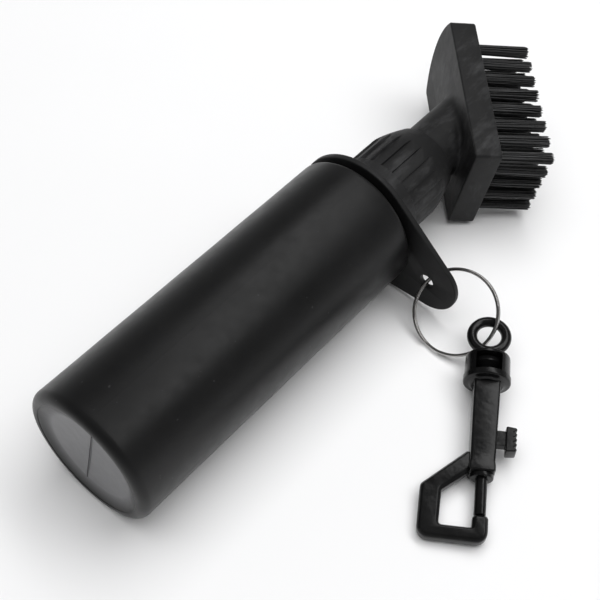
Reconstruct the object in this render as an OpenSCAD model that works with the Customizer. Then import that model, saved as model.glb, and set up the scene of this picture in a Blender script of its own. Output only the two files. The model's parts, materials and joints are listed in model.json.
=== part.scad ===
// Golf club groove brush: a squeeze bottle whose angled brush head screws on with a fluted collar,
// with a hang tab, a split ring and a trigger snap clip.
// The bottle side of the model is designed standing: its base is at z = 0 and the bristles face +x.
// lie() then lays it on its side, with the bottle's axis along +X and the floor at Z = 0.

/* [Bottle] */
// Outer radius of the bottle
bottle_r = 22.5; // [22.5:0.1:24]
// Height from the base to the shoulder
bottle_h = 116.3; // [100:0.1:130]
// Wall thickness of the bottle
bottle_wall = 1.2; // [0.8:0.1:1.6]
// Radius of the rounded heel
heel_r = 2.8; // [2:0.1:3.2]
// Radius of the shoulder's edge
shoulder_r = 1.6; // [1:0.1:2.4]
// Radius of the rim round the recessed base panel
base_rim_r = 18.9; // [18:0.1:19.2]
// Radius of the base panel's flat floor
base_panel_r = 15.7; // [14:0.1:17]
// Depth of the recessed base panel
base_recess = 1.5; // [0.6:0.1:2]
// Width of the pinch-off line across the base panel
slit_w = 0.35; // [0.2:0.05:0.5]
// Direction of that line round the bottle, from across the bristles' side
slit_turn = 4; // [-10:1:10]
// Outer radius of the neck
neck_r = 11.6; // [11.2:0.1:11.8]
// Height of the neck above the shoulder
neck_h = 22; // [20:0.5:23]
// Radius of the bead between the shoulder and the tab
bead_r = 14.6; // [13.5:0.1:16]
// Height of that bead
bead_h = 2; // [1:0.1:2.1]

/* [Thread] */
// Rise of the thread in one turn
thread_pitch = 3; // [2.4:0.1:3.2]
// Height of a thread ridge above the neck or the collar's bore
thread_depth = 0.9; // [0.6:0.05:0.95]
// Turns of the thread on the neck
neck_thread_turns = 2; // [1.25:0.25:2]
// Turns of the thread in the collar
collar_thread_turns = 1.25; // [1:0.25:1.5]

/* [Collar] */
// Radius of the collar's body
collar_r = 15.3; // [14.9:0.1:15.8]
// Radius of the rim at the collar's foot
collar_rim_r = 16.4; // [15.8:0.1:17.4]
// Radius of the collar's threaded bore
collar_bore_r = 13; // [12.9:0.05:13.2]
// Radius of the collar at the top of its dome
dome_top_r = 12.2; // [11.6:0.1:13]
// Number of flutes round the collar
flute_count = 22; // [12:1:24]
// Direction of the first flute's wall round the bottle
flute_az = -2.5; // [-10:0.5:10]
// Depth of a flute
flute_depth = 0.8; // [0.4:0.1:1]

/* [Brush head] */
// Angle between the bottle's axis and the way the bristles face
head_tilt = 45; // [40:1:50]
// Height on the axis where it meets the back of the head
head_z = 169.6; // [166:0.1:174]
// Radius of the neck tube
tube_r = 10.3; // [9.6:0.1:10.4]
// Radius of the water way in the tube
duct_r = 7; // [5:0.1:7.4]
// Width of the head
head_w = 36; // [34:0.2:37]
// Thickness of the head
head_t = 9; // [8.6:0.1:9.6]
// Length of the head's straight sides
side_len = 58.7; // [57:0.1:60]
// Height of the arc at the head's far end
crown = 6; // [4:0.1:7]
// Distance from the square end to the bottle's axis, along the back
axis_from_end = 24.4; // [22:0.1:26]
// Radius of the head's corners
corner_r = 1.2; // [1:0.1:3]
// Wall thickness of the shell round the bristle plate
shell_wall = 2; // [1.6:0.1:2.4]
// Thickness of the bristle plate
plate_t = 5.4; // [5:0.1:5.6]

/* [Bristles] */
// Distance from the square end to the first row
first_row = 4.5; // [4.2:0.1:5.6]
// Number of rows along the head
row_count = 8; // [8:1:8]
// Number of tufts in a row
tuft_columns = 5; // [3:1:5]
// Distance between the rows
row_pitch = 6.75; // [6.4:0.05:6.9]
// Distance between the tufts of a row
tuft_pitch = 6.2; // [5.6:0.1:6.4]
// Radius of a tuft
tuft_r = 1.9; // [1.4:0.1:2.2]
// Free length of the bristles
tuft_len = 19.4; // [12:0.1:20]
// Depth of a tuft's hole
tuft_hole = 4.2; // [3.4:0.1:4.4]

/* [Hang tab] */
// Thickness of the tab
tab_t = 2; // [1.8:0.1:2.4]
// Radius of the tab's round part
tab_r = 22.4; // [20:0.1:23]
// Radius of the tongue's tip
tip_r = 10.9; // [9:0.1:13]
// Distance from the axis to the centre of the tip
tip_x = 30.5; // [28:0.1:34]
// Radius of the hole for the ring
ring_hole_r = 2.55; // [2.5:0.05:3]
// Direction of the tongue round the bottle
tab_az = 9.8; // [0:0.1:20]

/* [Split ring] */
// Radius of the ring's coil, to the middle of the wire
ring_r = 13.6; // [13:0.1:14]
// Diameter of the wire
ring_wire = 1.05; // [0.9:0.05:1.1]

/* [Clip] */
// Radius of the eye, to the middle of its bar
eye_r = 5.3; // [5:0.1:5.6]
// Radius of the eye's bar
eye_bar_r = 1.6; // [1.6:0.05:1.9]
// Outer radius of the cage
cage_r = 7.2; // [6.8:0.1:7.4]
// Width and thickness of the barrel
barrel_w = 8.1; // [8:0.1:9.4]
// Radius of the bolt's rod
rod_r = 1.75; // [1.5:0.05:1.9]
// Thickness of the hook
hook_t = 4.6; // [4.2:0.1:5.6]
// Travel of the bolt
bolt_stroke = 8; // [6:0.5:8.5]

/* [Pose] */
// Direction round the bottle that faces the floor
down_az = 82; // [70:0.5:100]

/* [Hidden] */
// Where the origin lies from the base along the axis, and from the axis sideways
centre_x = 105.18;
centre_y = -31.93;
// Ring and clip, in the lying frame before the origin is moved
ring_at = [117.2, -41.9, 10.5];
ring_tilt = [0, 42.1, 180.9];
eye_at = [116.8, -55, 9.65];
clip_tilt = [3.2, 5.5, -147.1];

$fn = 64;
eps = 0.02;

tab_z = bottle_h + bead_h;
tab_top = tab_z + 0.1 + tab_t;
neck_top = bottle_h + neck_h;
neck_bore_r = neck_r - 1.9;
neck_thread_z = bottle_h + 10.2;
washer_t = 1.2;
flange_z = neck_top + washer_t;
flange_t = 2;
flange_r = 12.6;
collar_z = tab_top + 0.3;
collar_cavity_top = flange_z + flange_t + 0.3;
collar_top = bottle_h + 36.6;
dome_z = bottle_h + 24.7;
flute_z = bottle_h + 12.8;
flute_len = 16;
chamber_t = head_t - plate_t - 2;
rivet_gap = 0.05;

// Clip stations along its own axis, from the centre of the eye
cage_start = 7.7;
cage_end = 17;
cage_cap = 1.1;
window_end = 14.7;
window_w = 7.8;
button_start = cage_start + cage_cap + 0.2;
barrel_end = 46.8;
bush_end = 48.2;
bore_start = 17.2;
bore_end = 43.6;
bore_r = 2.8;
piston_start = 32.6;
piston_end = 37.4;
rod_end = 59.4;
knob_start = 31.4;
knob_end = 39.5;
knob_low = 6.3;
knob_high = 9.5;
knob_teeth = 5;
slot_w = 3;

// ---- frames ----

// From the standing bottle to the part, which lies on its side
module lie() {
    translate([-centre_x, -centre_y, bottle_r])
        rotate([0, 90, 0])
            rotate([0, 0, -down_az])
                children();
}

// From the brush head's own frame to the standing bottle: x runs from the square end along the back,
// y across the head, and z the way the bristles face, with z = 0 on the back
module on_head() {
    translate([0, 0, head_z])
        rotate([0, head_tilt, 0])
            mirror([1, 0, 0])
                translate([-axis_from_end, 0, 0])
                    children();
}

// The clip's frame: x runs from the eye to the hook, y towards the thumb knob
module on_clip() {
    translate([-centre_x, -centre_y, 0])
        translate(eye_at)
            rotate(clip_tilt)
                children();
}

// ---- helpers ----

// One closed helical bar: the profile's points are [radius, height], in order round the section
module helix_bar(profile, pitch, turns, steps_per_turn, taper = 0) {
    count = len(profile);
    steps = ceil(turns * steps_per_turn);
    mid_r = profile[0][0];
    function shrink(i) = taper == 0 ? 1 : min(1, 0.15 + min(i, steps - i) / taper);
    points = [
        for (i = [0:steps])
            for (p = profile)
                let (a = 360 * turns * i / steps, r = mid_r + (p[0] - mid_r) * shrink(i))
                    [r * cos(a), r * sin(a), p[1] + pitch * turns * i / steps]
    ];
    sides = [
        for (i = [0:steps - 1])
            for (j = [0:count - 1])
                let (k = (j + 1) % count)
                    each [
                        [i * count + j, (i + 1) * count + k, (i + 1) * count + j],
                        [i * count + j, i * count + k, (i + 1) * count + k]
                    ]
    ];
    first = [[for (j = [count - 1:-1:0]) j]];
    last = [[for (j = [0:count - 1]) steps * count + j]];
    polyhedron(points = points, faces = concat(first, sides, last), convexity = 8);
}

// A round wire wound into a coil
module coil(radius, wire_r, pitch, turns, steps_per_turn, sides = 10) {
    ring = [
        for (j = [0:sides - 1])
            [radius + wire_r * cos(360 * j / sides), wire_r * sin(360 * j / sides)]
    ];
    helix_bar(ring, pitch, turns, steps_per_turn);
}

// The head's outline: square at x = 0 with rounded corners, and an arc at the far end
module head_outline(inset = 0) {
    half = head_w / 2;
    arc_r = (half * half + crown * crown) / (2 * crown);
    arc_x = side_len + crown - arc_r;
    r = max(0.4, corner_r - inset);
    w = half - inset;
    translate([inset + r, -w])
        square([arc_x - inset - r, 2 * w]);
    translate([inset, -w + r])
        square([arc_x - inset, 2 * (w - r)]);
    for (s = [-1, 1])
        translate([inset + r, s * (w - r)])
            circle(r = r);
    intersection() {
        translate([arc_x - 1, -w])
            square([arc_r + 2, 2 * w]);
        translate([arc_x, 0])
            circle(r = arc_r - inset, $fn = 160);
    }
}

// Puts a copy at each tuft of a row, in the head's frame
module at_tufts(row) {
    for (c = [0:tuft_columns - 1])
        translate([row_x(row), (c - (tuft_columns - 1) / 2) * tuft_pitch, 0])
            children();
}

function row_x(row) = first_row + (row - 1) * row_pitch;

// ---- bottle side ----

module bottle() {
    shoulder_top = bottle_h;
    inner_r = bottle_r - bottle_wall;
    color([0.09, 0.09, 0.1])
        lie() {
            difference() {
                rotate_extrude($fn = 128)
                    difference() {
                        union() {
                            polygon([
                                [0, base_recess], [base_panel_r, base_recess], [base_rim_r, 0],
                                [bottle_r - heel_r, 0], [bottle_r - heel_r, base_recess + bottle_wall],
                                [0, base_recess + bottle_wall]
                            ]);
                            translate([bottle_r - heel_r, heel_r])
                                circle(r = heel_r);
                            translate([inner_r, heel_r])
                                square([bottle_wall, shoulder_top - heel_r - shoulder_r]);
                            translate([bottle_r - shoulder_r, shoulder_top - shoulder_r])
                                circle(r = shoulder_r);
                            translate([neck_bore_r, shoulder_top - bottle_wall])
                                square([bottle_r - shoulder_r - neck_bore_r, bottle_wall]);
                            translate([neck_bore_r, shoulder_top - eps])
                                square([bead_r - neck_bore_r, bead_h + eps]);
                            translate([neck_bore_r, shoulder_top])
                                square([neck_r - neck_bore_r, neck_h]);
                        }
                        translate([0, base_recess + bottle_wall])
                            square([inner_r, shoulder_top - bottle_wall - base_recess - bottle_wall]);
                    }
                rotate([0, 0, slit_turn])
                    translate([-slit_w / 2, -base_panel_r, base_recess - 0.3])
                        cube([slit_w, 2 * base_panel_r, 0.6]);
            }
            translate([0, 0, neck_thread_z])
                helix_bar(
                    [
                        [neck_r - 0.15, -0.75], [neck_r + thread_depth, -0.3],
                        [neck_r + thread_depth, 0.3], [neck_r - 0.15, 0.75]
                    ],
                    thread_pitch, neck_thread_turns, 30, 6
                );
        }
}

module sealing_washer() {
    color([0.75, 0.74, 0.7])
        lie()
            translate([0, 0, neck_top])
                difference() {
                    cylinder(r = neck_r + 0.4, h = washer_t);
                    translate([0, 0, -1])
                        cylinder(r = neck_bore_r - 0.6, h = washer_t + 2);
                }
}

module screw_collar() {
    color([0.1, 0.1, 0.11])
        lie() {
            difference() {
                rotate_extrude($fn = 128)
                    polygon(collar_section());
                for (i = [0:flute_count - 1])
                    rotate([0, 0, flute_az + i * 360 / flute_count])
                        translate([0, 0, flute_z])
                            linear_extrude(height = flute_len)
                                polygon([
                                    [collar_r - flute_depth, 0],
                                    [collar_r + 1.4, 0],
                                    [collar_r + 1.4, 3.4],
                                    [collar_r - 0.3, 3.4]
                                ]);
            }
            translate([0, 0, neck_thread_z + thread_pitch / 2 + 0.1])
                helix_bar(
                    [
                        [collar_bore_r + 0.15, 0.75], [collar_bore_r - thread_depth, 0.3],
                        [collar_bore_r - thread_depth, -0.3], [collar_bore_r + 0.15, -0.75]
                    ],
                    thread_pitch, collar_thread_turns, 30, 6
                );
        }
}

// Half section of the collar: the bore, the inner shoulder, and a domed outside
function collar_section() = concat(
    [
        [tube_r + 0.08, collar_cavity_top],
        [collar_bore_r, collar_cavity_top],
        [collar_bore_r, collar_z],
        [collar_rim_r - 0.4, collar_z],
        [collar_rim_r, collar_z + 0.4],
        [collar_rim_r, collar_z + 2.6],
        [collar_rim_r - 0.5, collar_z + 3.1],
        [collar_r + 0.2, collar_z + 3.3],
        [collar_r, collar_z + 4],
        [collar_r, dome_z]
    ],
    [for (u = [0.1:0.1:1]) [
        collar_r - (collar_r - dome_top_r) * pow(u, 1.4),
        dome_z + (collar_top - 0.7 - dome_z) * u
    ]],
    [
        [dome_top_r - 0.7, collar_top],
        [tube_r + 0.08, collar_top]
    ]
);

module head_shell() {
    color([0.1, 0.1, 0.11])
        lie()
            difference() {
                union() {
                    intersection() {
                        translate([0, 0, flange_z + flange_t])
                            cylinder(r = tube_r, h = 80);
                        on_head()
                            translate([-30, -60, -80])
                                cube([120, 120, 81]);
                    }
                    translate([0, 0, flange_z])
                        cylinder(r = flange_r, h = flange_t + eps);
                    on_head()
                        linear_extrude(height = head_t)
                            head_outline();
                }
                intersection() {
                    translate([0, 0, flange_z - 1])
                        cylinder(r = duct_r, h = 80);
                    on_head()
                        translate([-30, -60, -80])
                            cube([120, 120, 82.1]);
                }
                on_head()
                    translate([0, 0, 2])
                        linear_extrude(height = head_t)
                            head_outline(shell_wall);
            }
}

module bristle_plate() {
    color([0.1, 0.1, 0.11])
        lie()
            on_head()
                difference() {
                    union() {
                        translate([0, 0, head_t - plate_t])
                            linear_extrude(height = plate_t)
                                head_outline(shell_wall + rivet_gap);
                        for (x = [5, side_len - 3])
                            for (y = [-12, 12])
                                translate([x, y, 2])
                                    cylinder(r = 1.4, h = chamber_t + eps);
                    }
                    for (row = [1:row_count])
                        at_tufts(row)
                            translate([0, 0, head_t - tuft_hole])
                                cylinder(r = tuft_r, h = tuft_hole + 1);
                    for (row = [2, 4, 6])
                        for (y = [-tuft_pitch / 2, tuft_pitch / 2])
                            translate([row_x(row) + row_pitch / 2, y, 0])
                                cylinder(r = 1, h = head_t + 1);
                }
}

module tuft_row(row) {
    color([0.06, 0.06, 0.06])
        lie()
            on_head()
                at_tufts(row)
                    translate([0, 0, head_t - tuft_hole + 1.2])
                        cylinder(r = tuft_r, h = tuft_len + tuft_hole - 1.2);
}

module tuft_row_1() { tuft_row(1); }
module tuft_row_2() { tuft_row(2); }
module tuft_row_3() { tuft_row(3); }
module tuft_row_4() { tuft_row(4); }
module tuft_row_5() { tuft_row(5); }
module tuft_row_6() { tuft_row(6); }
module tuft_row_7() { tuft_row(7); }
module tuft_row_8() { tuft_row(8); }

module tuft_anchors() {
    color([0.8, 0.75, 0.5])
        lie()
            on_head()
                for (row = [1:row_count])
                    at_tufts(row)
                        translate([-1.5, -0.3, head_t - tuft_hole])
                            cube([3, 0.6, 1.2]);
}

module hang_tab() {
    reach = asin((tab_r - tip_r) / tip_x);
    color([0.1, 0.1, 0.11])
        lie()
            translate([0, 0, tab_z + 0.1])
                rotate([0, 0, tab_az])
                    difference() {
                        linear_extrude(height = tab_t)
                            difference() {
                                union() {
                                    circle(r = tab_r, $fn = 128);
                                    translate([tip_x, 0])
                                        circle(r = tip_r);
                                    polygon([
                                        [tab_r * sin(reach), tab_r * cos(reach)],
                                        [tab_r * sin(reach), -tab_r * cos(reach)],
                                        [tip_x + tip_r * sin(reach), -tip_r * cos(reach)],
                                        [tip_x + tip_r * sin(reach), tip_r * cos(reach)]
                                    ]);
                                }
                                circle(r = neck_r + 0.08, $fn = 128);
                            }
                        translate([tip_x - 0.3, 0, -1])
                            cylinder(r = ring_hole_r, h = tab_t + 2);
                    }
}

module split_ring() {
    color("silver")
        translate([-centre_x, -centre_y, 0])
            translate(ring_at)
                rotate(ring_tilt)
                    translate([0, 0, -(ring_wire + 0.05)])
                        coil(ring_r, ring_wire / 2, ring_wire + 0.05, 2, 48);
}

// ---- clip ----

module swivel_eye() {
    color([0.05, 0.05, 0.05])
        on_clip() {
            rotate_extrude($fn = 96)
                translate([eye_r, 0])
                    circle(r = eye_bar_r, $fn = 32);
            rotate([0, 90, 0]) {
                translate([0, 0, eye_r + 0.4])
                    cylinder(r = 2, h = button_start - eye_r);
                translate([0, 0, button_start])
                    cylinder(r = 4.4, h = 1.6);
                translate([0, 0, button_start + 1.6])
                    cylinder(r1 = 4.4, r2 = 2.4, h = 1.4);
            }
        }
}

module clip_body() {
    color([0.05, 0.05, 0.05])
        on_clip() {
            difference() {
                union() {
                    rotate([0, 90, 0]) {
                        translate([0, 0, cage_start])
                            cylinder(r = cage_r, h = cage_end - cage_start);
                        translate([0, 0, cage_end - 2.2])
                            cylinder(r = cage_r + 0.2, h = 1.6);
                    }
                    translate([cage_end - 1, -barrel_w / 2, -barrel_w / 2])
                        cube([barrel_end - cage_end + 1, barrel_w, barrel_w]);
                    rotate([0, 90, 0])
                        translate([0, 0, barrel_end - eps])
                            cylinder(r = 3.4, h = bush_end - barrel_end);
                }
                rotate([0, 90, 0]) {
                    translate([0, 0, cage_start - 1])
                        cylinder(r = 2.08, h = 4);
                    translate([0, 0, cage_start + cage_cap])
                        cylinder(r = 5, h = window_end + 0.3 - cage_start - cage_cap);
                    translate([0, 0, bore_start])
                        cylinder(r = bore_r, h = bore_end - bore_start);
                    translate([0, 0, bore_end - 1])
                        cylinder(r = rod_r + 0.07, h = 10);
                }
                for (a = [90, 270])
                    rotate([a, 0, 0])
                        translate([cage_start + cage_cap, 3.2, -window_w / 2])
                            cube([window_end - cage_start - cage_cap, 6, window_w]);
                translate([piston_start - bolt_stroke - 0.4, 0, -slot_w / 2])
                    cube([piston_end - piston_start + bolt_stroke + 0.8, 10, slot_w]);
            }
            hook();
        }
}

// The hook: an angular C that leaves the barrel's side and ends under the rod
module hook() {
    outline = [
        [38.6, -2.9], [52, -17.4], [64.5, -17.6], [65.8, -17.35], [66.9, -16.6], [67.65, -15.5],
        [67.9, -14.2], [67.9, -0.9], [67.65, 0.4], [66.9, 1.5], [65.8, 2.25], [64.5, 2.5], [59.6, 2.4],
        [59.6, -1.2], [60.2, -2], [63.6, -2.1], [63.6, -11.5], [53.1, -11.3], [45.9, -2.9]
    ];
    translate([0, 0, -hook_t / 2])
        linear_extrude(height = hook_t)
            polygon(outline);
}

module clip_bolt() {
    color([0.05, 0.05, 0.05])
        on_clip() {
            rotate([0, 90, 0]) {
                translate([0, 0, piston_start])
                    cylinder(r = bore_r - 0.08, h = piston_end - piston_start);
                translate([0, 0, piston_end - eps])
                    cylinder(r = rod_r, h = rod_end - piston_end);
            }
            translate([piston_start, 0, -slot_w / 2 + 0.15])
                cube([piston_end - piston_start, knob_low + 0.5, slot_w - 0.3]);
            difference() {
                translate([knob_start, knob_low, -2.4])
                    cube([knob_end - knob_start, knob_high - knob_low, 4.8]);
                for (i = [0:knob_teeth])
                    translate([knob_start + i * (knob_end - knob_start) / knob_teeth, knob_high + 0.1, -4])
                        cylinder(r = 0.5, h = 8, $fn = 24);
            }
        }
}

module clip_spring() {
    free_len = piston_start - bore_start - 0.6;
    color("silver")
        on_clip()
            translate([bore_start + 0.45, 0, 0])
                rotate([0, 90, 0])
                    coil(2.1, 0.3, (free_len - 0.4) / 8, 8, 18, 6);
}

bottle();
sealing_washer();
screw_collar();
head_shell();
bristle_plate();
tuft_row_1();
tuft_row_2();
tuft_row_3();
tuft_row_4();
tuft_row_5();
tuft_row_6();
tuft_row_7();
tuft_row_8();
tuft_anchors();
hang_tab();
split_ring();
swivel_eye();
clip_body();
clip_bolt();
clip_spring();
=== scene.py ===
"""The looks of a golf club groove brush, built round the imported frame. Local shapes are in millimetres."""

import json
import math
import random

import bmesh
import bpy
from mathutils import Matrix, Vector


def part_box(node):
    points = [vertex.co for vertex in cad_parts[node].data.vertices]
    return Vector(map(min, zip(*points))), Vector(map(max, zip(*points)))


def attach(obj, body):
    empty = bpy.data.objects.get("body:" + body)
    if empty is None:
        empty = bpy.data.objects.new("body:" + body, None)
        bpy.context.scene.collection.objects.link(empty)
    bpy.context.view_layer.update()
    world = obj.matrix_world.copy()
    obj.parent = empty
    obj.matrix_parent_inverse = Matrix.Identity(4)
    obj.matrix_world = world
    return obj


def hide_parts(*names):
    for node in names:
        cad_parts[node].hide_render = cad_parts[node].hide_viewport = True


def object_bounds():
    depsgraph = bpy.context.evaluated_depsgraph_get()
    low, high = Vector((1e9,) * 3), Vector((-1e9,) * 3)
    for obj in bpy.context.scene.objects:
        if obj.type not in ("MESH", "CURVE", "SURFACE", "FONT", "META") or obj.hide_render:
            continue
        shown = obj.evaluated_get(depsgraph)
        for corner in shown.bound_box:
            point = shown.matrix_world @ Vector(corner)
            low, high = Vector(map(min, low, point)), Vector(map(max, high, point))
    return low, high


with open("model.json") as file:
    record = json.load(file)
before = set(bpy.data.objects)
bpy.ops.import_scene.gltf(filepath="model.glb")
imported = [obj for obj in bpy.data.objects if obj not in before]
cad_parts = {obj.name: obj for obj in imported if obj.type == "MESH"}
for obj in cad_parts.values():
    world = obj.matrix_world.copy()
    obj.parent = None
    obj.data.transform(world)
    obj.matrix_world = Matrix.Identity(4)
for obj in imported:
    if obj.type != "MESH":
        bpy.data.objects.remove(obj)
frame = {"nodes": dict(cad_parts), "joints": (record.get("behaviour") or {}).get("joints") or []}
cad_lo, cad_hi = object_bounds()

MM = 0.001

# Bottle, neck and collar, in millimetres from the base along the axis
DOWN_AZ = 82
BOTTLE_R = 22.5
BOTTLE_H = 116.3
WALL = 1.2
HEEL_R = 2.8
SHOULDER_R = 1.6
RIM_R = 19.1
PANEL_R = 15.7
RECESS = 1.5
SLIT_TURN = 4
SLIT_REACH = 15.4
# The grey of the painted light on the recessed base panel
PANEL_PAINTED_LIGHT = 0.19
BEAD_R = 14.6
BEAD_H = 2
NECK_R = 11.6
NECK_H = 22
NECK_WALL = 1.9
NECK_TURNS = 2
COLLAR_TURNS = 1.25
THREAD_Z = BOTTLE_H + 10.2
THREAD_PITCH = 3
THREAD_DEPTH = 0.9
COLLAR_R = 15.3
COLLAR_RIM_R = 16.4
COLLAR_BORE_R = 13
COLLAR_Z = BOTTLE_H + 4.4
DOME_Z = BOTTLE_H + 24.7
DOME_TOP_R = 12.2
COLLAR_TOP = BOTTLE_H + 36.6
FLUTES = 22
FLUTE_AZ = -2.5
FLUTE_DEPTH = 0.8
FLUTE_Z = BOTTLE_H + 12.8
FLUTE_LEN = 16

# Brush head
HEAD_Z = 169.6
HEAD_TILT = 45
HEAD_W = 36
HEAD_T = 9
SIDE_LEN = 58.7
CROWN = 6
CORNER_R = 1.2
AXIS_FROM_END = 24.4
SHELL_WALL = 2
POCKET_FLOOR = 2
TUBE_R = 10.3
DUCT_R = 7
FLANGE_Z = BOTTLE_H + NECK_H + 1.2
FLANGE_R = 12.6
FLANGE_T = 2
FIRST_ROW = 4.5
ROW_PITCH = 6.75
TUFT_PITCH = 6.2
TUFT_R = 1.9
TUFT_LEN = 19.4
TUFT_COLUMNS = 5
FILAMENTS = 40
FILAMENT_R = 0.235
GOLDEN_ANGLE = math.radians(137.508)

# Hang tab
TAB_Z = BOTTLE_H + BEAD_H + 0.1
TAB_T = 2
TAB_R = 22.4
TIP_R = 10.9
TIP_X = 30.5
TAB_AZ = 9.8
RING_HOLE_R = 2.55

# Split ring
RING_R = 13.6
RING_WIRE = 1.05
RING_TURNS = 1.94
RING_TILT = (42.1, 180.9)

# Clip stations along its own axis, from the centre of the eye
SWIVEL_X = 12
EYE_R = 5.3
EYE_BAR_R = 1.6
CLIP_ROLL = 3.2
CAGE_START = 7.7
CAGE_END = 17
CAGE_CAP = 1.1
WINDOW_END = 14.7
CAGE_R = 7.2
WINDOW_W = 7.8
BARREL_W = 8.1
BARREL_END = 46.8
BUSH_END = 48.2
BORE_START = 17.2
BORE_END = 43.6
BORE_R = 2.8
PISTON_START = 32.6
PISTON_END = 37.4
ROD_R = 1.75
ROD_END = 59.4
KNOB_START = 31.4
KNOB_END = 39.5
KNOB_LOW = 6.3
KNOB_HIGH = 9.5
SLOT_W = 3
STROKE = 8
HOOK_T = 4.6


# ---- frames: local millimetres to the part's metres ----


def standing():
    """The bottle standing on its base, with the bristles on the +x side."""
    lo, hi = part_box("bottle")
    middle = (lo + hi) / 2
    return (
        Matrix.Translation((lo.x, middle.y, middle.z))
        @ Matrix.Rotation(math.radians(90), 4, "Y")
        @ Matrix.Rotation(math.radians(-DOWN_AZ), 4, "Z")
        @ Matrix.Scale(MM, 4)
    )


def on_head():
    """x runs along the head's back from its square end, z the way the bristles face."""
    return (
        STAND
        @ Matrix.Translation((0, 0, HEAD_Z))
        @ Matrix.Rotation(math.radians(HEAD_TILT), 4, "Y")
        @ Matrix.Scale(-1, 4, Vector((1, 0, 0)))
        @ Matrix.Translation((-AXIS_FROM_END, 0, 0))
    )


def on_tab():
    return STAND @ Matrix.Translation((0, 0, TAB_Z)) @ Matrix.Rotation(math.radians(TAB_AZ), 4, "Z")


def on_clip():
    """x runs from the eye to the hook, y towards the thumb knob."""
    joint = next(j for j in frame["joints"] if j["name"] == "clip_swivel")
    x = Vector(joint["axis"]).normalized()
    y = Vector((-x.y, x.x, 0)).normalized()
    z = x.cross(y)
    eye = Vector(joint["pos_m"]) - x * SWIVEL_X * MM
    turn = Matrix((x, y, z)).transposed().to_4x4()
    roll = Matrix.Rotation(math.radians(CLIP_ROLL), 4, "X")
    return Matrix.Translation(eye) @ turn @ roll @ Matrix.Scale(MM, 4)


def on_ring():
    lo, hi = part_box("split_ring")
    return (
        Matrix.Translation((lo + hi) / 2)
        @ Matrix.Rotation(math.radians(RING_TILT[1]), 4, "Z")
        @ Matrix.Rotation(math.radians(RING_TILT[0]), 4, "Y")
        @ Matrix.Scale(MM, 4)
    )


# ---- mesh helpers ----


def arc(cx, cy, radius, start, end, steps):
    """Points on an arc, with angles in degrees."""
    angles = [math.radians(start + (end - start) * i / steps) for i in range(steps + 1)]
    return [(cx + radius * math.cos(a), cy + radius * math.sin(a)) for a in angles]


def loft(loops, wrap=False):
    """A closed skin through loops of equally many points: capped at both ends, or joined end to start."""
    bm = bmesh.new()
    rows = [[bm.verts.new(p) for p in loop] for loop in loops]
    count = len(rows[0])
    pairs = list(zip(rows, rows[1:])) + ([(rows[-1], rows[0])] if wrap else [])
    for a, b in pairs:
        for i in range(count):
            j = (i + 1) % count
            bm.faces.new((a[i], a[j], b[j], b[i]))
    if not wrap:
        bm.faces.new(rows[0])
        bm.faces.new(rows[-1])
    bmesh.ops.recalc_face_normals(bm, faces=bm.faces)
    return bm


def lathe(profile, steps=128, shape=None, angles=None, wrap=False):
    """A profile of (radius, height) turned about z. shape(radius, height, angle) gives a new radius."""
    angles = angles or [360 * i / steps for i in range(steps)]
    loops = []
    for r, z in profile:
        loop = []
        for degrees in angles:
            a = math.radians(degrees)
            q = shape(r, z, degrees) if shape else r
            loop.append((q * math.cos(a), q * math.sin(a), z))
        loops.append(loop)
    return loft(loops, wrap)


def round_corners(points, radius, steps=6):
    """A polygon with each corner replaced by an arc that touches both of its sides."""
    out = []
    for i, p in enumerate(points):
        here = Vector(p)
        back = (Vector(points[i - 1]) - here).normalized()
        on = (Vector(points[(i + 1) % len(points)]) - here).normalized()
        half = back.angle(on) / 2
        r = radius[i] if isinstance(radius, (list, tuple)) else radius
        reach = r / math.tan(half)
        centre = here + (back + on).normalized() * (r / math.sin(half))
        a = here + back * reach - centre
        b = here + on * reach - centre
        sweep = math.atan2(a.x * b.y - a.y * b.x, a.dot(b))
        for k in range(steps + 1):
            out.append(tuple(centre + Matrix.Rotation(sweep * k / steps, 2) @ a))
    return out


def inset(outline, distance):
    """A closed outline, given anticlockwise, moved inwards."""
    out = []
    for i, p in enumerate(outline):
        here = Vector(p)
        back = (here - Vector(outline[i - 1])).normalized()
        on = (Vector(outline[(i + 1) % len(outline)]) - here).normalized()
        normal = Vector((-back.y - on.y, back.x + on.x)).normalized()
        grow = 1 / max(0.5, normal.dot(Vector((-on.y, on.x))))
        out.append(tuple(here + normal * distance * grow))
    return out


def level(outline, z):
    return [(x, y, z) for x, y in outline]


def rounded_prism(outline, z0, z1, r0, r1, steps=4):
    """An outline drawn up from z0 to z1, with its two edges rounded to r0 and r1."""
    margin = 0.08
    loops = [level(inset(outline, r0 + margin), z0)]
    for i in range(steps + 1):
        a = math.radians(90 * i / steps)
        loops.append(level(inset(outline, r0 * (1 - math.sin(a))), z0 + r0 * (1 - math.cos(a))))
    for i in range(steps + 1):
        a = math.radians(90 * i / steps)
        loops.append(level(inset(outline, r1 * (1 - math.cos(a))), z1 - r1 * (1 - math.sin(a))))
    loops.append(level(inset(outline, r1 + margin), z1))
    return loft(loops)


def box(lo, hi, radius):
    """A box with its upright edges rounded, and its ends softened."""
    corners = [(lo[0], lo[1]), (hi[0], lo[1]), (hi[0], hi[1]), (lo[0], hi[1])]
    return rounded_prism(round_corners(corners, radius), lo[2], hi[2], radius * 0.5, radius * 0.5)


def turned(bm, matrix):
    bm.transform(matrix)
    return bm


def along_x(bm):
    """Turns a shape made along z to lie along x."""
    return turned(bm, Matrix.Rotation(math.radians(90), 4, "Y"))


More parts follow.
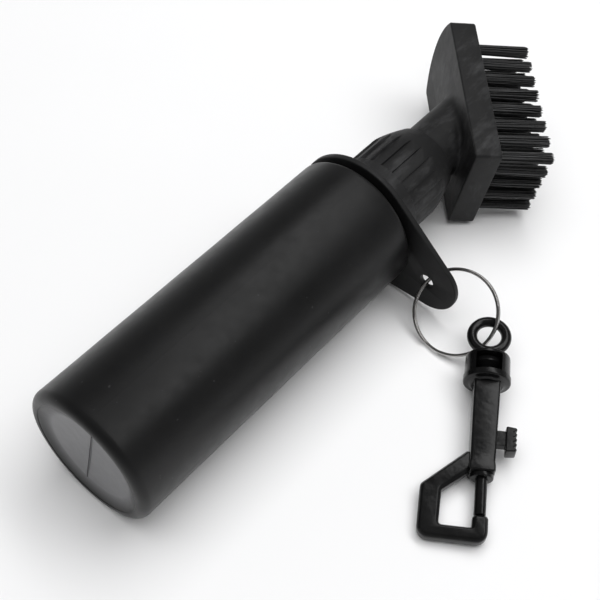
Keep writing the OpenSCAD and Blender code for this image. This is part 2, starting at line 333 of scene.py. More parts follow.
def sweep(path, radius, sides=12, closed=False):
    """A round bar along a path, capped flat where it is open. radius may be a list."""
    count = len(path)
    radii = radius if isinstance(radius, list) else [radius] * count
    loops = []
    side = None
    for i, p in enumerate(path):
        before = path[i - 1] if i or closed else path[i]
        after = path[(i + 1) % count] if i < count - 1 or closed else path[i]
        way = (Vector(after) - Vector(before)).normalized()
        if side is None:
            side = way.orthogonal().normalized()
        side = (side - way * side.dot(way)).normalized()
        up = way.cross(side)
        ring = []
        for k in range(sides):
            a = 2 * math.pi * k / sides
            ring.append(Vector(p) + (side * math.cos(a) + up * math.sin(a)) * radii[i])
        loops.append(ring)
    return loft(loops, wrap=closed)


def helix_ridge(radius, depth, z0, turns, inward=False):
    """A thread's ridge, which fades out at both ends."""
    sign = -1 if inward else 1
    steps = int(turns * 48)
    loops = []
    for i in range(steps + 1):
        a = 2 * math.pi * turns * i / steps
        fade = min(1, 0.1 + min(i, steps - i) / 8)
        z = z0 + THREAD_PITCH * turns * i / steps
        top = radius + sign * depth * fade
        root = radius - sign * 0.15
        section = [(root, -0.75), (top, -0.35), (top, 0.35), (root, 0.75)]
        loops.append([(r * math.cos(a), r * math.sin(a), z + h) for r, h in section])
    return loft(loops)


def as_object(bm):
    mesh = bpy.data.meshes.new("work")
    bm.to_mesh(mesh)
    bm.free()
    obj = bpy.data.objects.new("work", mesh)
    bpy.context.scene.collection.objects.link(obj)
    return obj


def boolean(first, second, operation):
    """Both shapes are used up, and the result is returned."""
    a = as_object(first)
    b = as_object(second)
    modifier = a.modifiers.new("boolean", "BOOLEAN")
    modifier.operation = operation
    modifier.solver = "MANIFOLD"
    modifier.object = b
    bpy.context.view_layer.update()
    made = a.evaluated_get(bpy.context.evaluated_depsgraph_get()).to_mesh()
    bm = bmesh.new()
    bm.from_mesh(made)
    for obj in (a, b):
        mesh = obj.data
        bpy.data.objects.remove(obj)
        bpy.data.meshes.remove(mesh)
    if not bm.faces:
        raise RuntimeError("a boolean left nothing")
    return bm


def add(first, *others):
    for other in others:
        first = boolean(first, other, "UNION")
    return first


def cut(first, *tools):
    for tool in tools:
        first = boolean(first, tool, "DIFFERENCE")
    return first


def joined(shapes):
    """Several separate shapes in one mesh."""
    bm = bmesh.new()
    for shape in shapes:
        mesh = bpy.data.meshes.new("work")
        shape.to_mesh(mesh)
        shape.free()
        bm.from_mesh(mesh)
        bpy.data.meshes.remove(mesh)
    return bm


def piece(name, bm, place, body, material, nodes, sharp=32):
    """Places a shape in the part's frame and hands it to its body."""
    bm.transform(place)
    bmesh.ops.recalc_face_normals(bm, faces=bm.faces)
    mesh = bpy.data.meshes.new(name)
    bm.to_mesh(mesh)
    bm.free()
    mesh.shade_smooth()
    mesh.set_sharp_from_angle(angle=math.radians(sharp))
    mesh.materials.append(material)
    obj = bpy.data.objects.new(name, mesh)
    bpy.context.scene.collection.objects.link(obj)
    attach(obj, body)
    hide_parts(*nodes)
    return obj


# ---- materials ----


class Graph:
    """A material's node tree, with short ways to add and join nodes."""

    def __init__(self, name):
        self.material = bpy.data.materials.new(name)
        self.material.use_nodes = True
        self.tree = self.material.node_tree
        self.shader = self.tree.nodes["Principled BSDF"]
        self.place = self.add("ShaderNodeTexCoord").outputs["Object"]

    def add(self, kind, **settings):
        node = self.tree.nodes.new(kind)
        for key, value in settings.items():
            setattr(node, key, value)
        return node

    def link(self, output, socket):
        self.tree.links.new(output, socket)

    def set(self, **values):
        for key, value in values.items():
            self.shader.inputs[key.replace("_", " ")].default_value = value

    def noise(self, scale, detail=4, roughness=0.55, stretch=None):
        node = self.add("ShaderNodeTexNoise")
        node.inputs["Scale"].default_value = scale
        node.inputs["Detail"].default_value = detail
        node.inputs["Roughness"].default_value = roughness
        place = self.place
        if stretch:
            mapping = self.add("ShaderNodeMapping")
            mapping.inputs["Scale"].default_value = stretch
            self.link(place, mapping.inputs["Vector"])
            place = mapping.outputs["Vector"]
        self.link(place, node.inputs["Vector"])
        return node.outputs["Fac"]

    def remap(self, value, low, high, start=0.3, end=0.7):
        node = self.add("ShaderNodeMapRange")
        node.inputs["From Min"].default_value = start
        node.inputs["From Max"].default_value = end
        node.inputs["To Min"].default_value = low
        node.inputs["To Max"].default_value = high
        self.link(value, node.inputs["Value"])
        return node.outputs["Result"]

    def mix(self, factor, first, second):
        node = self.add("ShaderNodeMix", data_type="RGBA")
        self.link(factor, node.inputs["Factor"])
        for socket, value in ((node.inputs[6], first), (node.inputs[7], second)):
            if isinstance(value, tuple):
                socket.default_value = value + (1,)
            else:
                self.link(value, socket)
        return node.outputs[2]

    def bump(self, height, strength, distance, before=None):
        node = self.add("ShaderNodeBump")
        node.inputs["Strength"].default_value = strength
        node.inputs["Distance"].default_value = distance
        self.link(height, node.inputs["Height"])
        if before:
            self.link(before, node.inputs["Normal"])
        return node.outputs["Normal"]


def grey(value):
    return (value, value, value * 1.03)


def plastic(name, tone, rough, specular, grain=2600, depth=0.12, wave=40, swell=0.05, specks=0, scuffs=0):
    """Black moulded plastic: a fine grain, a slow unevenness, uneven gloss and a little dust."""
    g = Graph(name)
    slow = g.noise(wave, 3)
    fine = g.noise(grain, 3, 0.6)
    patches = g.noise(260, 5, 0.6)
    colour = g.mix(g.remap(slow, 0, 1), grey(tone * 0.8), grey(tone * 1.2))
    if specks:
        dots = g.remap(g.noise(700, 1, 0.3), 0, 1, 0.79, 0.81)
        colour = g.mix(dots, colour, grey(specks))
    if scuffs:
        streaks = g.remap(g.noise(60, 6, 0.7, (1, 3, 1)), 0, 0.7, 0.5, 0.75)
        colour = g.mix(streaks, colour, grey(scuffs))
    g.link(colour, g.shader.inputs["Base Color"])
    g.link(g.remap(patches, rough - 0.045, rough + 0.045), g.shader.inputs["Roughness"])
    g.set(Specular_IOR_Level=specular)
    normal = g.bump(slow, swell, 0.0006)
    normal = g.bump(fine, depth, 0.00006, normal)
    g.link(normal, g.shader.inputs["Normal"])
    return g.material


def paint_light_on_base_panel(material):
    """Paints light onto the recessed base panel: a paler grey in its colour, brighter than the rest of the
    bottle, stands for the light the panel catches.
    """
    tree = material.node_tree
    shader = tree.nodes["Principled BSDF"]
    colour = shader.inputs["Base Color"].links[0].from_socket
    lo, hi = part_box("bottle")
    middle = (lo + hi) / 2
    shift = tree.nodes.new("ShaderNodeMapping")
    shift.inputs["Location"].default_value = (-lo.x, -middle.y, -middle.z)
    tree.links.new(tree.nodes.new("ShaderNodeTexCoord").outputs["Object"], shift.inputs["Vector"])
    split = tree.nodes.new("ShaderNodeSeparateXYZ")
    tree.links.new(shift.outputs["Vector"], split.inputs[0])
    flat = tree.nodes.new("ShaderNodeCombineXYZ")
    tree.links.new(split.outputs["Y"], flat.inputs["Y"])
    tree.links.new(split.outputs["Z"], flat.inputs["Z"])
    length = tree.nodes.new("ShaderNodeVectorMath")
    length.operation = "LENGTH"
    tree.links.new(flat.outputs[0], length.inputs[0])
    masks = []
    for value, start, end in (
        (length.outputs["Value"], (RIM_R - 0.6) * MM, (PANEL_R - 1.2) * MM),
        (split.outputs["X"], (RECESS + 0.6) * MM, (RECESS + 0.3) * MM),
    ):
        ramp = tree.nodes.new("ShaderNodeMapRange")
        ramp.inputs["From Min"].default_value = start
        ramp.inputs["From Max"].default_value = end
        tree.links.new(value, ramp.inputs["Value"])
        masks.append(ramp.outputs["Result"])
    both = tree.nodes.new("ShaderNodeMath")
    both.operation = "MULTIPLY"
    tree.links.new(masks[0], both.inputs[0])
    tree.links.new(masks[1], both.inputs[1])
    mix = tree.nodes.new("ShaderNodeMix")
    mix.data_type = "RGBA"
    tree.links.new(both.outputs[0], mix.inputs["Factor"])
    tree.links.new(colour, mix.inputs[6])
    # Painted light: inside the panel's masks the plastic's colour gives way to a paler grey that stands for
    # the light the panel catches
    mix.inputs[7].default_value = grey(PANEL_PAINTED_LIGHT) + (1,)
    tree.links.new(mix.outputs[2], shader.inputs["Base Color"])


def nylon(name):
    """Filaments: each one a slightly different grey, with fine streaks along it."""
    g = Graph(name)
    island = g.add("ShaderNodeNewGeometry").outputs["Random Per Island"]
    colour = g.mix(island, grey(0.006), grey(0.03))
    g.link(colour, g.shader.inputs["Base Color"])
    g.link(g.remap(g.noise(1500, 3), 0.26, 0.42), g.shader.inputs["Roughness"])
    g.set(Specular_IOR_Level=0.4)
    g.link(g.bump(g.noise(3000, 2), 0.15, 0.00005), g.shader.inputs["Normal"])
    return g.material


def metal(name, colour, rough, scratch=0.1):
    g = Graph(name)
    tint = g.mix(g.remap(g.noise(300, 4), 0, 1), tuple(c * 0.82 for c in colour), colour)
    g.link(tint, g.shader.inputs["Base Color"])
    g.link(g.remap(g.noise(1800, 4), rough * 0.6, rough * 1.6), g.shader.inputs["Roughness"])
    g.set(Metallic=1.0)
    g.link(g.bump(g.noise(2400, 3), scratch, 0.00004), g.shader.inputs["Normal"])
    return g.material


def rubber(name, colour):
    g = Graph(name)
    tint = g.mix(g.remap(g.noise(200, 4), 0, 1), tuple(c * 0.85 for c in colour), colour)
    g.link(tint, g.shader.inputs["Base Color"])
    g.link(g.remap(g.noise(900, 3), 0.6, 0.8), g.shader.inputs["Roughness"])
    g.link(g.bump(g.noise(2500, 3), 0.2, 0.00005), g.shader.inputs["Normal"])
    return g.material


# ---- bottle side ----


def bottle_shape():
    """The blown bottle: base panel, heel, mould seam, shoulder, bead, and the neck with its lip."""
    inner_r = BOTTLE_R - WALL
    heel_x = BOTTLE_R - HEEL_R
    neck_bore = NECK_R - NECK_WALL
    neck_top = BOTTLE_H + NECK_H
    profile = [(0.4, RECESS + 0.2), (6, RECESS + 0.17), (11, RECESS + 0.08)]
    for i in range(9):
        u = i / 8
        ease = u * u * (3 - 2 * u)
        profile.append((PANEL_R - 1 + (RIM_R - PANEL_R + 0.7) * u, RECESS - (RECESS - 0.22) * ease))
    profile += arc(RIM_R + 0.02, 0.25, 0.25, 180, 270, 3)[1:]
    profile += arc(heel_x, HEEL_R, HEEL_R, -88, 0, 14)
    profile += [(BOTTLE_R, HEEL_R + 0.8)]
    side_top = BOTTLE_H - SHOULDER_R
    for i in range(1, 20):
        z = HEEL_R + 0.8 + (side_top - HEEL_R - 1.2) * i / 20
        profile.append((BOTTLE_R - 0.02 * (1 - math.cos(i * 1.3)), z))
    profile += arc(BOTTLE_R - SHOULDER_R, side_top, SHOULDER_R, 0, 90, 8)
    profile += arc(BEAD_R + 0.4, BOTTLE_H + 0.4, 0.4, 270, 180, 3)
    profile += arc(BEAD_R - 0.4, BOTTLE_H + BEAD_H - 0.4, 0.4, 0, 90, 4)
    profile += arc(NECK_R + 0.3, BOTTLE_H + BEAD_H + 0.3, 0.3, 270, 180, 3)
    profile += arc(NECK_R - 0.4, neck_top - 0.4, 0.4, 0, 90, 4)
    profile += arc(neck_bore + 0.3, neck_top - 0.3, 0.3, 90, 180, 3)
    profile += [(neck_bore, BOTTLE_H - WALL + 0.4)]
    profile += arc(neck_bore + 0.4, BOTTLE_H - WALL - 0.0, 0.4, 180, 270, 3)
    profile += arc(inner_r - 1, BOTTLE_H - WALL - 1.4, 1, 90, 0, 5)
    profile += arc(inner_r - 2.6, HEEL_R + 1.2, 2.6, 0, -90, 6)
    profile += [(PANEL_R - 1, RECESS + WALL), (8, RECESS + WALL + 0.15), (0.4, RECESS + WALL + 0.2)]
    seams = (90, 270)
    angles = [360 * i / 160 for i in range(160)]
    for seam in seams:
        angles = [a for a in angles if abs(a - seam) > 1.2]
        angles += [seam + d for d in (-1.1, -0.6, -0.35, -0.15, 0, 0.15, 0.35, 0.6, 1.1)]
    angles.sort()

    def seam_line(r, z, degrees):
        if r < BOTTLE_R - 3 or not HEEL_R < z < BOTTLE_H:
            return r
        off = min(abs(degrees - seam) for seam in seams)
        return r + 0.02 * math.exp(-((off / 0.28) ** 2)) - 0.02

    shell = lathe(profile, shape=seam_line, angles=angles)
    slit = box((-0.17, -SLIT_REACH, -1), (0.17, SLIT_REACH, RECESS + 0.55), 0.08)
    lip = box((-0.3, -SLIT_REACH + 1, RECESS - 0.1), (0.3, SLIT_REACH - 1, RECESS + 0.5), 0.1)
    for line in (slit, lip):
        turned(line, Matrix.Rotation(math.radians(SLIT_TURN), 4, "Z"))
    thread = helix_ridge(NECK_R, THREAD_DEPTH, THREAD_Z, NECK_TURNS)
    return add(cut(add(shell, lip), slit), thread)


def flute_cut(z, degrees):
    """How deep the collar's flutes are at a height and direction: a sharp wall, then a slow rise."""
    pitch = 360 / FLUTES
    along = ((degrees - FLUTE_AZ) % pitch) / pitch
    if z < FLUTE_Z or z > FLUTE_Z + FLUTE_LEN:
        return 0
    start = min(1, (z - FLUTE_Z) / 0.3)
    wall = min(1, along / 0.05)
    rise = max(0, 1 - along / 0.86)
    return FLUTE_DEPTH * start * wall * rise


def collar_shape():
    pitch = 360 / FLUTES
    marks = (0, 0.025, 0.05, 0.12, 0.22, 0.34, 0.46, 0.58, 0.7, 0.8, 0.86, 0.93)
    angles = [FLUTE_AZ + pitch * (k + m) for k in range(FLUTES) for m in marks]
    cavity_top = FLANGE_Z + FLANGE_T + 0.3
    rim_top = COLLAR_Z + 3
    outside = arc(COLLAR_RIM_R - 0.4, COLLAR_Z + 0.4, 0.4, -90, 0, 4)
    outside += [(COLLAR_RIM_R, COLLAR_Z + 1.2), (COLLAR_RIM_R - 0.18, COLLAR_Z + 1.35)]
    outside += [(COLLAR_RIM_R - 0.18, COLLAR_Z + 1.6), (COLLAR_RIM_R, COLLAR_Z + 1.75)]
    outside += arc(COLLAR_RIM_R - 0.4, rim_top - 0.4, 0.4, 0, 80, 4)
    outside += arc(COLLAR_R + 0.5, rim_top + 0.5, 0.5, 260, 180, 4)
    outside += [(COLLAR_R, z) for z in (COLLAR_Z + 5, FLUTE_Z - 0.4, FLUTE_Z, FLUTE_Z + 0.1, FLUTE_Z + 0.3)]
    outside += [(COLLAR_R, FLUTE_Z + 0.3 + (DOME_Z - FLUTE_Z - 0.3) * i / 8) for i in range(1, 9)]
    dome_top = COLLAR_TOP - 0.7
    for i in range(1, 25):
        u = i / 24
        r = COLLAR_R - (COLLAR_R - DOME_TOP_R) * u ** 1.4
        outside.append((r, DOME_Z + (dome_top - DOME_Z) * u))
    outside += arc(DOME_TOP_R - 0.7, dome_top, 0.7, 12, 90, 5)
    outside += [(TUBE_R + 0.5, COLLAR_TOP), (TUBE_R + 0.2, COLLAR_TOP - 0.15)]
    inside = [(TUBE_R + 0.08, COLLAR_TOP - 0.4), (TUBE_R + 0.08, cavity_top)]
    inside += [(COLLAR_BORE_R - 0.3, cavity_top), (COLLAR_BORE_R, cavity_top - 0.3)]
    inside += [(COLLAR_BORE_R, COLLAR_Z + 0.5), (COLLAR_BORE_R + 0.4, COLLAR_Z)]

    def fluted(r, z, degrees):
        if r < COLLAR_BORE_R + 0.6 and z < cavity_top + 1 or r < DOME_TOP_R:
            return r
        return min(r, COLLAR_R - flute_cut(z, degrees)) if z > FLUTE_Z - 0.01 else r

    shell = lathe(outside + inside, shape=fluted, angles=angles, wrap=True)
    z0 = THREAD_Z + THREAD_PITCH / 2 + 0.1
    return add(shell, helix_ridge(COLLAR_BORE_R, THREAD_DEPTH, z0, COLLAR_TURNS, inward=True))


# ---- brush head ----


def head_outline():
    """Anticlockwise from the square end's lower corner, with an arc at the far end."""
    half = HEAD_W / 2
    arc_r = (half * half + CROWN * CROWN) / (2 * CROWN)
    arc_x = SIDE_LEN + CROWN - arc_r
    spread = math.degrees(math.asin(half / arc_r))
    points = arc(CORNER_R, -half + CORNER_R, CORNER_R, 180, 270, 6)
    crown = arc(arc_x, 0, arc_r, -spread, spread, 40)
    points += [(p, -half) for p in (12, 26, 40, SIDE_LEN - 1)]
    points += [(SIDE_LEN - 0.35, -half + 0.12)] + crown[1:-1] + [(SIDE_LEN - 0.35, half - 0.12)]
    points += [(p, half) for p in (SIDE_LEN - 1, 40, 26, 12)]
    return points + arc(CORNER_R, half - CORNER_R, CORNER_R, 90, 180, 6)


def head_cup():
    """The open shell round the bristle plate, with rounded edges."""
    outline = head_outline()
    back, front = 0.6, 0.45
    steps = 4
    loops = [level(inset(outline, back + 0.1), 0)]
    for i in range(steps + 1):
        a = math.radians(90 * i / steps)
        loops.append(level(inset(outline, back * (1 - math.sin(a))), back * (1 - math.cos(a))))
    for i in range(steps + 1):
        a = math.radians(90 * i / steps)
        loops.append(level(inset(outline, front * (1 - math.cos(a))), HEAD_T - front * (1 - math.sin(a))))
    wall = SHELL_WALL
    loops.append(level(inset(outline, wall - 0.15), HEAD_T))
    loops.append(level(inset(outline, wall), HEAD_T - 0.15))
    loops.append(level(inset(outline, wall), POCKET_FLOOR))
    return loft(loops)


def tube_shape():
    """The neck tube in the head's frame: a cylinder along the bottle's axis that flares onto the back."""
    lean = math.radians(HEAD_TILT)
    way = Vector((math.sin(lean), 0, math.cos(lean)))
    across = Vector((0, 1, 0))
    side = across.cross(way)
    flare = 1.7
    sides = 96
    start = Vector((AXIS_FROM_END, 0, 0)) - way * (HEAD_Z - FLANGE_Z - FLANGE_T + 0.5)
    angles = [2 * math.pi * k / sides for k in range(sides)]

    def on_cylinder(a, depth):
        """The cylinder's point at a depth behind the back."""
        out = side * TUBE_R * math.cos(a) + across * TUBE_R * math.sin(a)
        foot = Vector((AXIS_FROM_END, 0, 0)) + out
        return foot - way * ((foot.z + depth) / way.z)

    def outward(a):
        """In the back's plane, square to the tube's oval."""
        return Vector((math.copysign(1, side.x) * math.cos(a), math.sin(a) / math.cos(lean), 0)).normalized()

    first = [start + side * TUBE_R * math.cos(a) + across * TUBE_R * math.sin(a) for a in angles]
    last = [on_cylinder(a, flare) for a in angles]
    loops = [[p.lerp(q, i / 6) for p, q in zip(first, last)] for i in range(6)]
    for i in range(9):
        depth = flare * (1 - i / 8)
        out = flare - math.sqrt(max(0, flare**2 - (flare - depth) ** 2))
        loops.append([on_cylinder(a, depth) + outward(a) * out for a in angles])
    loops.append([p + Vector((0, 0, 0.6)) for p in loops[-1]])
    return loft(loops)


def head_shape():
    to_head = (STAND.inverted() @ HEAD).inverted()
    flange = lathe(
        arc(FLANGE_R - 0.3, FLANGE_Z + 0.3, 0.3, -90, 0, 3)
        + arc(FLANGE_R - 0.3, FLANGE_Z + FLANGE_T - 0.3, 0.3, 0, 90, 3)
        + [(TUBE_R - 0.6, FLANGE_Z + FLANGE_T + 0.8)],
        96,
    )
    duct = lathe([(DUCT_R, FLANGE_Z - 1), (DUCT_R, HEAD_Z + 12)], 64)
    turned(flange, to_head)
    turned(duct, to_head)
    bmesh.ops.recalc_face_normals(flange, faces=flange.faces)
    bmesh.ops.recalc_face_normals(duct, faces=duct.faces)
    floor = box((-60, -30, -90), (90, 30, POCKET_FLOOR + 0.2), 1)
    return cut(add(head_cup(), tube_shape(), flange), boolean(duct, floor, "INTERSECT"))


def filament(base, tip, bend, radius):
    """One nylon filament: a thin bar with a soft bend and a rounded tip."""
    path = []
    radii = []
    length = (tip - base).length
    for u in (0, 0.3, 0.55, 0.78, 0.92, 0.975, 1):
        path.append(base.lerp(tip, u) + bend * (u * u))
        rest = length * (1 - u)
        radii.append(radius * (1 if rest > radius else 0.35 + 0.65 * math.sqrt(rest / radius)))
    return sweep(path, radii, 6)


def tuft_shape(row, rng):
    """A row's tufts: each a bundle that spreads a little towards its uneven tips."""
    reach = TUFT_R - FILAMENT_R
    shapes = []
    for column in range(TUFT_COLUMNS):
        x = FIRST_ROW + (row - 1) * ROW_PITCH
        y = (column - (TUFT_COLUMNS - 1) / 2) * TUFT_PITCH
        lean = Vector((rng.uniform(-0.25, 0.25), rng.uniform(-0.25, 0.25), 0))
        for k in range(FILAMENTS):
            r = reach * math.sqrt((k + 0.5) / FILAMENTS)
            a = k * GOLDEN_ANGLE + column
            out = Vector((math.cos(a), math.sin(a), 0)) * r
            jitter = Vector((rng.uniform(-1, 1), rng.uniform(-1, 1), 0)) * 0.06
            spread = out * rng.uniform(0.03, 0.2)
            length = TUFT_LEN - 0.03 - min(1.2, abs(rng.gauss(0, 0.25)))
            base = Vector((x, y, HEAD_T - 1.5)) + out * 0.97 + jitter
            tip = Vector((x, y, HEAD_T + length)) + out + spread + jitter + lean
            bend = Vector((rng.gauss(0, 0.12), rng.gauss(0, 0.12), 0))
            shapes.append(filament(base, tip, bend, FILAMENT_R))
    return joined(shapes)


# ---- hang tab and ring ----


def tab_shape():
    touch = math.degrees(math.acos((TAB_R - TIP_R) / TIP_X))
    outline = arc(0, 0, TAB_R, touch, 360 - touch, 96) + arc(TIP_X, 0, TIP_R, -touch, touch, 40)
    plate = rounded_prism(outline, 0, TAB_T, 0.35, 0.35)
    neck_hole = lathe([(NECK_R + 0.08, -1), (NECK_R + 0.08, TAB_T + 1)], 96)
    soft = 0.3
    ring_hole = [(RING_HOLE_R + soft + 0.5, -0.5), (RING_HOLE_R + soft, 0)]
    ring_hole += arc(RING_HOLE_R + soft, soft, soft, 225, 180, 3)[1:] + [(RING_HOLE_R, TAB_T - soft)]
    ring_hole += [(RING_HOLE_R + soft * 0.3, TAB_T - soft * 0.3), (RING_HOLE_R + soft, TAB_T)]
    ring_hole += [(RING_HOLE_R + soft + 0.5, TAB_T + 0.5)]
    eyelet = turned(lathe(ring_hole, 48), Matrix.Translation((TIP_X - 0.3, 0, 0)))
    return cut(plate, neck_hole, eyelet)


def ring_shape():
    """Two flat turns of wire, with one step over from the first to the second."""
    steps = 220
    step_at, step_width = 0.97, 0.07
    rise = RING_WIRE + 0.03
    path = []
    for i in range(steps + 1):
        t = RING_TURNS * i / steps
        a = 2 * math.pi * (t + 0.02)
        u = min(1, max(0, (t - step_at + step_width) / (2 * step_width)))
        z = rise * (u * u * (3 - 2 * u) - 0.5)
        path.append((RING_R * math.cos(a), RING_R * math.sin(a), z))
    r = RING_WIRE / 2
    radii = [r] * len(path)
    radii[0] = radii[-1] = r * 0.7
    return sweep(path, radii, 16)


# ---- clip ----


def eye_shape():
    around, sides = 96, 28
    loops = []
    for i in range(around):
        a = 2 * math.pi * i / around
        ring = []
        for k in range(sides):
            b = 2 * math.pi * k / sides
            r = EYE_R + EYE_BAR_R * math.cos(b)
            ring.append((r * math.cos(a), r * math.sin(a), EYE_BAR_R * math.sin(b)))
        loops.append(ring)
    torus = loft(loops, wrap=True)
    neck = 2
    button = CAGE_START + CAGE_CAP + 0.2
    stem = [(neck + 0.9, EYE_R + 0.3), (neck + 0.35, EYE_R + 1.2), (neck, EYE_R + 1.9), (neck, button)]
    stem += arc(4.1, button + 0.3, 0.3, -90, 0, 3) + [(4.4, button + 1.6), (2.4, button + 3)]
    return add(torus, along_x(lathe(stem, 48)))


def barrel_loop(x, half, radius, trim=0):
    """One section of the barrel. trim is how far its knob side draws in."""
    top = half - trim
    corners = [(-half, -half), (top, -half), (top, half), (-half, half)]
    return [(x, y, z) for y, z in round_corners(corners, radius, 5)]


def hook_outline():
    corners = [
        (38.6, -2.9), (52, -17.5), (67.9, -17.6), (67.9, 2.5), (59.6, 2.4),
        (59.6, -1.4), (60.6, -2.1), (63.6, -2.2), (63.6, -11.5), (53.1, -11.3), (45.9, -2.9),
    ]
    radii = [1.3, 2.2, 3.4, 3.4, 1.3, 1.2, 0.5, 0.5, 0.9, 1.2, 1.3]
    return round_corners(corners, radii, 6)


def hook_shape():
    """The hook's bar has flat faces and wide bevels along its edges."""
    outline = hook_outline()
    half = HOOK_T / 2
    bevel = 0.95
    soft = 0.18
    edges = [(bevel + soft, half), (bevel, half - 0.02), (bevel - soft, half - 0.1)]
    edges += [(soft, half - bevel * 0.9), (0.04, half - bevel * 0.9 - soft), (0, half - bevel - soft)]
    loops = [level(inset(outline, d), -z) for d, z in edges]
    loops += [level(inset(outline, d), z) for d, z in reversed(edges)]
    return loft(loops)


def clip_shape():
    half = BARREL_W / 2
    barrel = [barrel_loop(CAGE_END - 1, half - 0.02, 0.9)]
    for i in range(1, 8):
        x = CAGE_END - 1 + (BARREL_END - 2.2 - CAGE_END) * i / 7
        barrel.append(barrel_loop(x, half - 0.2 * i / 7, 0.75, 0.4 * i / 7))
    barrel.append(barrel_loop(BARREL_END - 1.9, half - 0.05, 0.6, 0.35))
    barrel.append(barrel_loop(BARREL_END - 0.4, half - 0.05, 0.6, 0.35))
    barrel.append(barrel_loop(BARREL_END, half - 0.4, 0.6, 0.35))
    cage = arc(CAGE_R - 0.9, CAGE_START + 0.5, 0.5, -90, -5, 4)
    cage += [(CAGE_R - 0.35, CAGE_START + 1.3), (CAGE_R - 0.25, WINDOW_END - 0.1)]
    cage += [(CAGE_R + 0.05, WINDOW_END + 0.2)]
    cage += arc(CAGE_R - 0.55, CAGE_END - 0.7, 0.6, 0, 90, 5)
    cage += [(5.8, CAGE_END), (5.4, CAGE_END + 0.2), (4.8, CAGE_END + 0.6)]
    bush = arc(3.0, BUSH_END - 0.4, 0.4, 0, 90, 4)
    solid = add(
        loft(barrel),
        along_x(lathe(cage, 96)),
        along_x(lathe([(3.4, BARREL_END - 1)] + bush, 48)),
        hook_shape(),
    )
    cavity = lathe([(5, CAGE_START + CAGE_CAP), (5, WINDOW_END + 0.3)], 64)
    stem_hole = lathe([(2.08, CAGE_START - 1), (2.08, CAGE_START + 4)], 48)
    bore = lathe([(BORE_R, BORE_START), (BORE_R, BORE_END)], 48)
    rod_hole = lathe([(ROD_R + 0.07, BORE_END - 1), (ROD_R + 0.07, BUSH_END + 1)], 48)
    tools = [along_x(t) for t in (cavity, stem_hole, bore, rod_hole)]
    w = WINDOW_W / 2
    for quarter in (1, 3):
        window = box((-w, 3.2, CAGE_START + CAGE_CAP), (w, 9.2, WINDOW_END), 0.35)
        turned(window, Matrix.Rotation(math.radians(90), 4, "Y"))
        tools.append(turned(window, Matrix.Rotation(math.radians(90 * quarter), 4, "X")))
    s = SLOT_W / 2
    tools.append(box((PISTON_START - STROKE - 0.4, 0, -s), (PISTON_END + 0.4, 10, s), 0.3))
    return cut(solid, *tools)


def knob_outline():
    """A plain inner edge and a row of teeth outside, anticlockwise."""
    teeth = 5
    width = (KNOB_END - KNOB_START) / teeth
    points = arc(KNOB_START + 0.4, KNOB_LOW + 0.4, 0.4, 180, 270, 3)
    points += arc(KNOB_END - 0.4, KNOB_LOW + 0.4, 0.4, 270, 360, 3)
    for k in range(teeth):
        x = KNOB_END - width * (k + 0.5)
        points += arc(x, KNOB_HIGH - width * 0.36, width * 0.36, 10, 170, 6)
        if k < teeth - 1:
            points.append((x - width / 2, KNOB_HIGH - width * 0.72))
    return points


def bolt_shape():
    r = ROD_R
    rod = [(r, PISTON_END - 0.5), (r, ROD_END - 0.35), (r - 0.1, ROD_END - 0.1), (r - 0.35, ROD_END)]
    head = BORE_R - 0.08
    piston = [(head - 0.2, PISTON_START), (head, PISTON_START + 0.2)]
    piston += [(head, PISTON_END - 0.2), (head - 0.2, PISTON_END)]
    s = SLOT_W / 2 - 0.15
    stem = box((PISTON_START, 0, -s), (PISTON_END, KNOB_LOW + 0.5, s), 0.25)
    knob = rounded_prism(knob_outline(), -2.4, 2.4, 0.3, 0.3)
    return add(along_x(lathe(piston, 48)), along_x(lathe(rod, 48)), stem, knob)


# ---- stage ----

CAMERA_AZIMUTH = 307.46
CAMERA_ELEVATION = 52.77
CAMERA_ROLL = 3.62
# Where the camera looks, from the middle of the bottle's base: along the axis, and across it
CAMERA_AIM = (80.5, -7.95)
CAMERA_DISTANCE = 0.3472
CAMERA_LENS = 69.0


def make_camera():
    azimuth, elevation = math.radians(CAMERA_AZIMUTH), math.radians(CAMERA_ELEVATION)
    back = Vector((
        math.sin(azimuth) * math.cos(elevation),
        -math.cos(azimuth) * math.cos(elevation),
        math.sin(elevation),
    ))
    lo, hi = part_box("bottle")
    middle = (lo + hi) / 2
    aim = Vector((lo.x + CAMERA_AIM[0] * MM, middle.y + CAMERA_AIM[1] * MM, middle.z))
    camera = bpy.data.objects.new("camera", bpy.data.cameras.new("camera"))
    camera.data.lens = CAMERA_LENS
    camera.data.sensor_width = 36
    camera.data.clip_start = 0.01
    camera.rotation_mode = "QUATERNION"
    camera.location = aim + back * CAMERA_DISTANCE
    roll = Matrix.Rotation(math.radians(CAMERA_ROLL), 3, back)
    turn = roll @ (-back).to_track_quat("-Z", "Y").to_matrix()
    camera.rotation_quaternion = turn.to_quaternion()
    bpy.context.scene.collection.objects.link(camera)
    bpy.context.scene.camera = camera


def area_light(name, spot, target, size, power, glossy=True):
    light = bpy.data.lights.new(name, "AREA")
    light.shape = "RECTANGLE"
    light.size, light.size_y = size
    light.energy = power
    obj = bpy.data.objects.new(name, light)
    obj.location = spot
    obj.rotation_mode = "QUATERNION"
    obj.rotation_quaternion = (Vector(target) - Vector(spot)).to_track_quat("-Z", "Y")
    obj.visible_glossy = glossy
    bpy.context.scene.collection.objects.link(obj)
    return obj


def make_floor():
    g = Graph("floor")
    tint = g.mix(g.remap(g.noise(6, 3), 0, 1), (0.86, 0.86, 0.865), (0.88, 0.88, 0.885))
    g.link(tint, g.shader.inputs["Base Color"])
    g.set(Roughness=0.9, Specular_IOR_Level=0.1)
    mesh = bpy.data.meshes.new("floor")
    half = 2.5
    corners = [(-half, -half, 0), (half, -half, 0), (half, half, 0), (-half, half, 0)]
    mesh.from_pydata(corners, [], [(0, 1, 2, 3)])
    mesh.materials.append(g.material)
    floor = bpy.data.objects.new("floor", mesh)
    floor.location.z = cad_lo.z - 0.00005
    bpy.context.scene.collection.objects.link(floor)


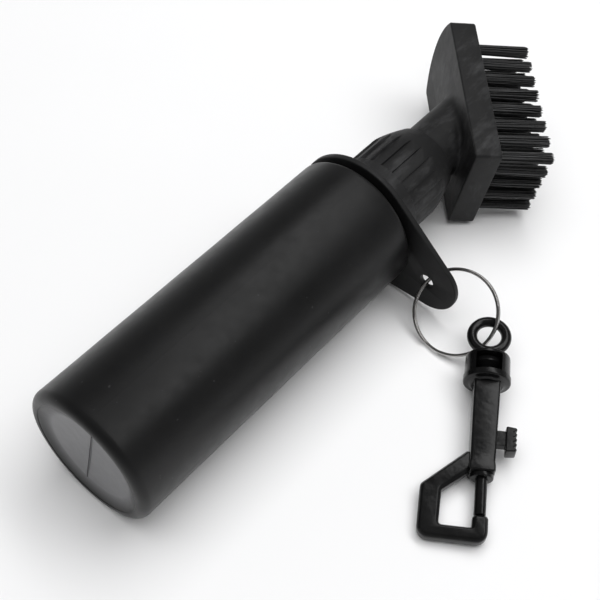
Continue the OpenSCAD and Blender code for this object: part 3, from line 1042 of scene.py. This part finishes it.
def make_world():
    """A dim room that gets paler towards the horizon."""
    world = bpy.data.worlds.new("room")
    world.use_nodes = True
    tree = world.node_tree
    coords = tree.nodes.new("ShaderNodeTexCoord")
    split = tree.nodes.new("ShaderNodeSeparateXYZ")
    ramp = tree.nodes.new("ShaderNodeMapRange")
    ramp.inputs["From Min"].default_value = 0.0
    ramp.inputs["From Max"].default_value = 0.5
    ramp.inputs["To Min"].default_value = 0.4
    ramp.inputs["To Max"].default_value = 0.12
    tree.links.new(coords.outputs["Generated"], split.inputs[0])
    tree.links.new(split.outputs["Z"], ramp.inputs["Value"])
    tree.links.new(ramp.outputs["Result"], tree.nodes["Background"].inputs["Strength"])
    tree.nodes["Background"].inputs["Color"].default_value = (1, 1, 1, 1)
    bpy.context.scene.world = world


def make_lights():
    area_light("strip", spot=(0.33, -0.1, 0.72), target=(0, -0.02, 0.03), size=(1.1, 0.25), power=2.4)
    area_light("fill", spot=(0, 0, 1.6), target=(0, 0, 0), size=(2, 2), power=29, glossy=False)


bpy.context.scene.view_settings.view_transform = "Standard"
make_camera()
make_world()
make_lights()
make_floor()

STAND = standing()
HEAD = on_head()
CLIP = on_clip()

bottle_plastic = plastic("bottle_plastic", 0.007, 0.36, 0.25, grain=3500, depth=0.05, wave=25, specks=0.025)
# The base panel's paler grey is painted light, not a colour of the plastic
paint_light_on_base_panel(bottle_plastic)
head_plastic = plastic("head_plastic", 0.012, 0.56, 0.26, grain=3000, depth=0.2, scuffs=0.06)
tab_plastic = plastic("tab_plastic", 0.011, 0.52, 0.26, grain=2600, depth=0.2)
clip_plastic = plastic("clip_plastic", 0.005, 0.22, 0.32, grain=1200, depth=0.06, wave=260, swell=0.16)
bristle_nylon = nylon("bristle_nylon")
ring_steel = metal("ring_steel", (0.5, 0.49, 0.48), 0.14)
anchor_brass = metal("anchor_brass", (0.72, 0.58, 0.3), 0.3)
washer_rubber = rubber("washer_rubber", (0.6, 0.58, 0.54))

piece("bottle_blown", bottle_shape(), STAND, "bottle", bottle_plastic, ["bottle"])
piece("fluted_collar", collar_shape(), STAND, "collar", head_plastic, ["screw_collar"], 24)
piece("brush_head", head_shape(), HEAD, "head", head_plastic, ["head_shell"])
rng = random.Random(7)
for row in range(1, 9):
    node = f"tuft_row_{row}"
    piece(f"bristles_{row}", tuft_shape(row, rng), HEAD, "head", bristle_nylon, [node], 60)
piece("tab_plate", tab_shape(), on_tab(), "tab", tab_plastic, ["hang_tab"])
piece("steel_ring", ring_shape(), on_ring(), "ring", ring_steel, ["split_ring"], 60)
piece("eye_bar", eye_shape(), CLIP, "eye", clip_plastic, ["swivel_eye"])
piece("clip_casting", clip_shape(), CLIP, "clip", clip_plastic, ["clip_body"])
piece("thumb_bolt", bolt_shape(), CLIP, "bolt", clip_plastic, ["clip_bolt"])

for node, material in (
    ("bristle_plate", head_plastic),
    ("tuft_anchors", anchor_brass),
    ("sealing_washer", washer_rubber),
    ("clip_spring", ring_steel),
):
    slots = frame["nodes"][node].material_slots
    for material_slot in slots:
        material_slot.material = material
